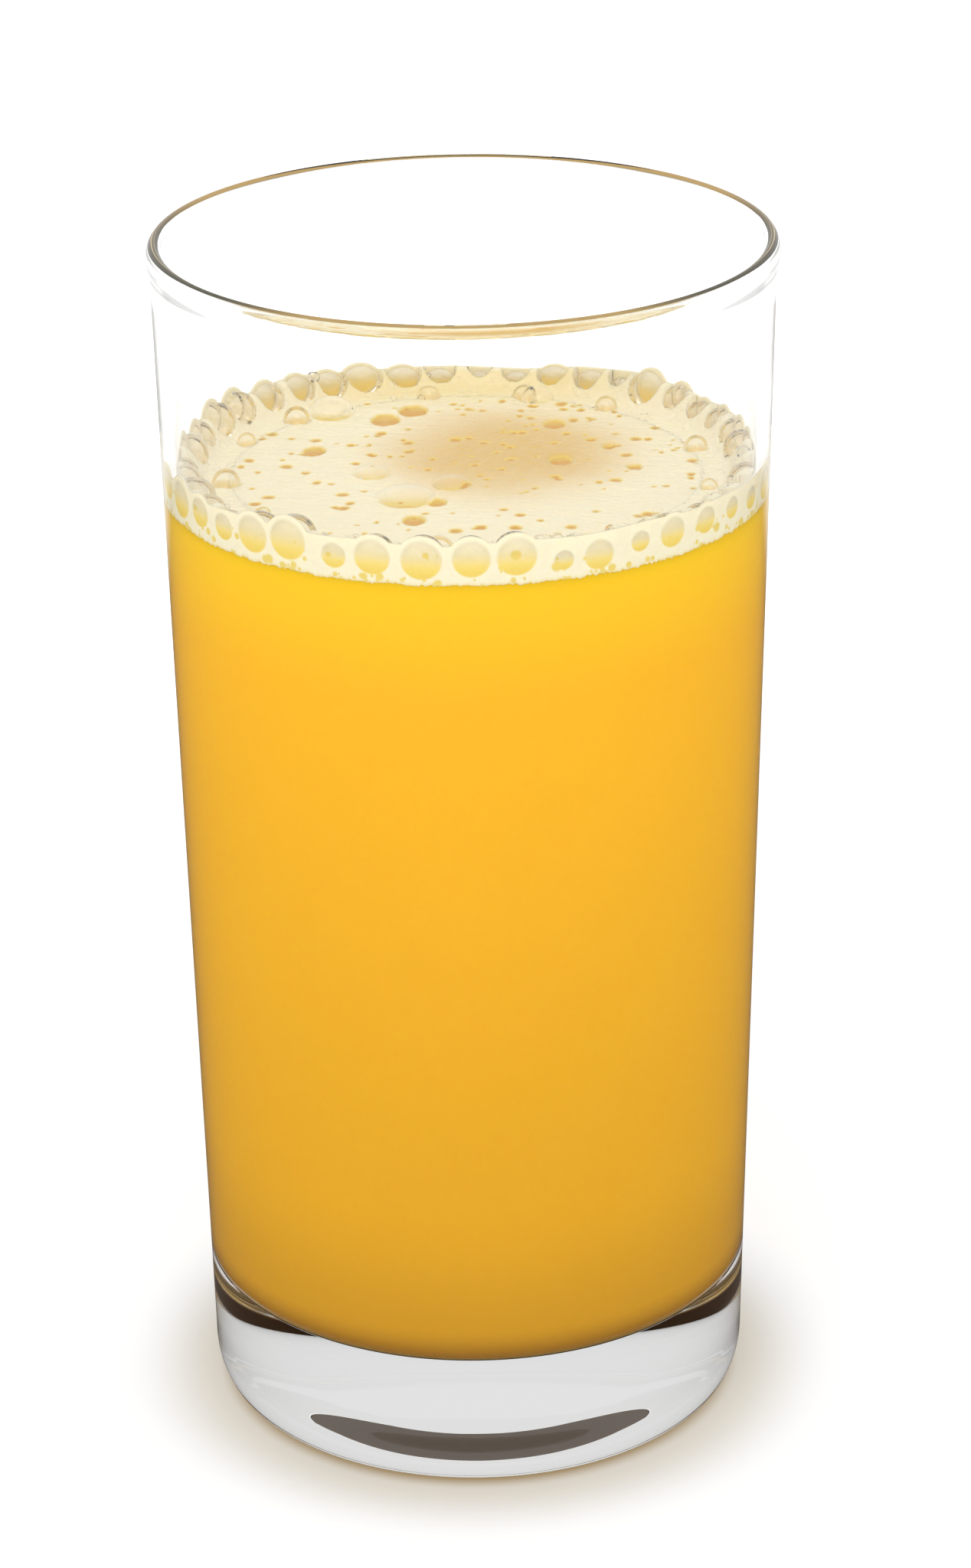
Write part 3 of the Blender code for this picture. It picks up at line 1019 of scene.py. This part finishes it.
def blown(name, balls, subdivisions, sizes, material):
    """Bubbles at the given places, as one mesh."""
    made = points_object(name, balls)
    group = bubble_tree(f"{name}_nodes", material)
    modifier = made.modifiers.new("bubbles", "NODES")
    modifier.node_group = group
    gap = SHEET + 0.00003
    low = wall_inside(sizes, 0.0) - gap
    slope = (wall_inside(sizes, sizes.height) - gap - low) / sizes.height
    values = {"Subdivisions": subdivisions, "Wall Radius": low, "Wall Slope": slope}
    for item in group.interface.items_tree:
        if item.in_out == "INPUT" and item.name in values:
            modifier[item.identifier] = values[item.name]
    return to_mesh(made)


def settings_of(context):
    return context.scene.juice_glass


class AddTumbler(bpy.types.Operator):
    """Makes the clear glass with its heavy base and rounded lip"""

    bl_idname = "juice_glass.add_tumbler"
    bl_label = "Add Tumbler"

    def execute(self, context):
        sizes = settings_of(context).tumbler
        tumbler = turned("tumbler", tumbler_profile(sizes), sizes.segments)
        settle(tumbler, clear_glass(sizes), "clear_glass", "glass")
        return {"FINISHED"}


class AddJuice(bpy.types.Operator):
    """Fills the glass with juice up to its level"""

    bl_idname = "juice_glass.add_juice"
    bl_label = "Add Juice"

    def execute(self, context):
        settings = settings_of(context)
        profile = juice_profile(settings.tumbler, settings.drink)
        juice = turned("cloudy_juice", profile, 192)
        settle(juice, cloudy_juice(settings.tumbler, settings.drink), "orange_juice", "juice")
        return {"FINISHED"}


class AddFroth(bpy.types.Operator):
    """Lays the froth on the juice: the film and the collar of fine froth"""

    bl_idname = "juice_glass.add_froth"
    bl_label = "Add Froth"

    def execute(self, context):
        settings = settings_of(context)
        sizes, drink, bubbles = settings.tumbler, settings.drink, settings.bubbles
        froth = Froth(sizes, drink, bubbles)
        material = wet_froth(drink)
        collar = link(collar_mesh(sizes, drink, froth), "froth_collar")
        settle(collar, material, "cream_froth", "froth")
        skin = link(skin_mesh(sizes, drink, bubbles, froth), "froth_skin")
        settle(skin, material, "cream_froth")
        film = link(film_mesh(sizes, drink, froth), "froth_film")
        settle(film, material, "cream_froth")
        return {"FINISHED"}


class AddBubbles(bpy.types.Operator):
    """Blows the clear bubbles along the wall, on the film and along the crest"""

    bl_idname = "juice_glass.add_bubbles"
    bl_label = "Add Bubbles"

    def execute(self, context):
        settings = settings_of(context)
        sizes, drink, bubbles = settings.tumbler, settings.drink, settings.bubbles
        froth = Froth(sizes, drink, bubbles)
        large = bubble_film(drink, "large bubble film", 0.02, 0.45)
        small = bubble_film(drink, "small bubble film", 0.06, 0.6)
        walls = wall_bubbles(sizes, drink, bubbles)
        pieces = {
            "wall_bubbles": (walls, 4, large),
            "film_bubbles": (leaning_bubbles(sizes, drink, bubbles) + film_domes(drink), 4, large),
            "tiny_bubbles": (tiny_bubbles(sizes, drink, bubbles, froth), 2, small),
        }
        for name, (balls, subdivisions, material) in pieces.items():
            made = blown(name, balls, subdivisions, sizes, material)
            settle(made, material, "cream_froth")
        return {"FINISHED"}


class SetStage(bpy.types.Operator):
    """Sets out the floor, the soft light and the camera"""

    bl_idname = "juice_glass.set_stage"
    bl_label = "Set Stage"

    def execute(self, context):
        stage = settings_of(context).stage
        add_floor(stage)
        add_light()
        add_camera(stage)
        scene = context.scene
        scene.view_settings.view_transform = "Standard"
        scene.cycles.max_bounces = 16
        scene.cycles.transmission_bounces = 14
        scene.cycles.glossy_bounces = 6
        scene.cycles.transparent_max_bounces = 24
        return {"FINISHED"}


def dark_shine(tree):
    """Two values: 1 for what the outside of the glass mirrors, and 1 for what its base does.

    The floor uses them for a painted dark reflection in the wall and a painted shadow seen through
    the base. Dark cards beside the glass would keep those two reflections dark in the same way.
    """
    mirrored = tree.node("ShaderNodeLightPath", output="Glossy Depth")
    through = mirrored.output("Transmission Depth")
    outside = mirrored.least(1.0) * (1.0 - through.least(1.0))
    deep = (mirrored - 1.0).most(0.0).least(1.0)
    return outside, deep


def add_floor(stage):
    bm = bmesh.new()
    bmesh.ops.create_grid(bm, x_segments=2, y_segments=2, size=15.0)
    bmesh.ops.translate(bm, vec=(0.0, 0.0, -0.0002), verts=bm.verts)
    mesh = bpy.data.meshes.new("floor")
    bm.to_mesh(mesh)
    bm.free()
    floor = link(mesh, "floor")
    made, tree = finish("pale floor")
    place = tree.place()
    away = tree.node("ShaderNodeVectorMath", {"operation": "LENGTH"}, {0: place}, output="Value")
    y = tree.node("ShaderNodeSeparateXYZ", {}, {"Vector": place}, output="Y")
    outside, deep = dark_shine(tree)
    # Painted reflection and shadow: the floor is dark for what the glass's outside mirrors, and near the
    # glass for what the base shows
    wall_painted_dark = outside * (1.0 - y.step(*WALL_PAINTED_DARK) * 0.5)
    painted_dark_share = wall_painted_dark.most(deep * (1.0 - away.step(*BASE_PAINTED_DARK)))
    painted_dark_reflection = (0.13, 0.10, 0.078)
    # Painted shadow: warm round the foot, dark brown under it
    floor_with_painted_shadow = tree.blend(away.step(*PAINTED_SHADOW_RING), tuple(stage.floor_painted_shadow), tuple(stage.floor_colour))
    floor_with_painted_shadow = tree.blend(away.step(*PAINTED_UNDER_FOOT), tuple(stage.floor_painted_under_shadow), floor_with_painted_shadow)
    white = principled(
        tree,
        base_color=tree.blend(painted_dark_share, floor_with_painted_shadow, painted_dark_reflection),
        roughness=1.0,
        specular_ior_level=0.0,
    )
    # Painted glow: the floor glows more away from the glass, so round the foot it stays darker
    glow = (away.step(*NEAR_GLOW) * 0.22 + away.step(*FAR_GLOW) * 0.56) * (1.0 - painted_dark_share * 0.9)
    lit = tree.node("ShaderNodeEmission", {}, {"Color": WHITE, "Strength": glow})
    surface(tree, tree.node("ShaderNodeAddShader", {}, {0: white, 1: lit}))
    floor.data.materials.append(made)


def add_light():
    """A bright backdrop behind, dark sides, even fill, and a large softbox over the front."""
    world = bpy.data.worlds.new("studio")
    world.use_nodes = True
    world.node_tree.nodes.clear()
    bpy.context.scene.world = world
    tree = Tree(world.node_tree)
    way = tree.node("ShaderNodeTexCoord", output="Generated")
    y = tree.node("ShaderNodeSeparateXYZ", {}, {"Vector": way}, output="Y")
    z = y.output("Z")
    behind = y.step(-0.15, 0.1)
    above = z.step(0.6, 0.85)
    matt = tree.node("ShaderNodeLightPath", output="Is Diffuse Ray")
    fill = matt * (0.46 + z.step(0.2, 0.9) * 0.54)
    outside, deep = dark_shine(tree)
    mirrored = tree.node("ShaderNodeLightPath", output="Glossy Depth").least(1.0)
    tent = (1.0 - matt) * (1.0 - outside) * (0.95 - mirrored * 0.15 - deep * 0.05)
    strength = (behind * 0.80).most(above * 0.45).most(0.10).most(fill).most(tent)
    back = tree.node("ShaderNodeBackground", {}, {"Color": WHITE, "Strength": strength})
    tree.node("ShaderNodeOutputWorld", {}, {"Surface": back})

    lamp = bpy.data.lights.new("front softbox", "AREA")
    lamp.shape = "RECTANGLE"
    lamp.size = 0.9
    lamp.size_y = 0.5
    lamp.energy = 3.2
    made = bpy.data.objects.new("front softbox", lamp)
    made.visible_transmission = False
    bpy.context.scene.collection.objects.link(made)
    made.matrix_world = aimed(LAMP_PLACE, LAMP_TARGET)


def aimed(place, target):
    """A matrix that puts something at a place, facing a target."""
    way = Matrix.Translation(target).translation - Matrix.Translation(place).translation
    return Matrix.Translation(place) @ way.to_track_quat("-Z", "Y").to_matrix().to_4x4()


def add_camera(stage):
    camera = bpy.data.cameras.new("camera")
    camera.sensor_width = SENSOR
    camera.lens = SENSOR * PHOTO_FOCAL / max(PHOTO_SIZE)
    camera.clip_start = 0.01
    camera.clip_end = 100.0
    made = bpy.data.objects.new("camera", camera)
    bpy.context.scene.collection.objects.link(made)
    place = Matrix.Translation((stage.camera_side, -stage.camera_back, stage.camera_height))
    tilt = Matrix.Rotation(math.pi / 2 - stage.pitch, 4, "X")
    made.matrix_world = place @ tilt @ Matrix.Rotation(-stage.roll, 4, "Z")
    bpy.context.scene.camera = made


STEPS = (AddTumbler, AddJuice, AddFroth, AddBubbles, SetStage)


class JuicePanel(bpy.types.Panel):
    """Lists the steps that make the glass of juice"""

    bl_idname = "VIEW3D_PT_juice_glass"
    bl_label = "Orange Juice"
    bl_space_type = "VIEW_3D"
    bl_region_type = "UI"
    bl_category = "Orange Juice"

    def draw(self, context):
        column = self.layout.column(align=True)
        for step in STEPS:
            column.operator(step.bl_idname)


GROUPS = (TumblerSizes, DrinkSizes, BubbleSizes, StageSettings, JuiceGlass)


def register():
    for item in (*GROUPS, *STEPS, JuicePanel):
        bpy.utils.register_class(item)
    bpy.types.Scene.juice_glass = PointerProperty(type=JuiceGlass)


def unregister():
    del bpy.types.Scene.juice_glass
    for item in reversed((*GROUPS, *STEPS, JuicePanel)):
        bpy.utils.unregister_class(item)


def main():
    register()
    bpy.ops.juice_glass.add_tumbler()
    bpy.ops.juice_glass.add_juice()
    bpy.ops.juice_glass.add_froth()
    bpy.ops.juice_glass.add_bubbles()
    bpy.ops.juice_glass.set_stage()


if __name__ == "__main__":
    main()
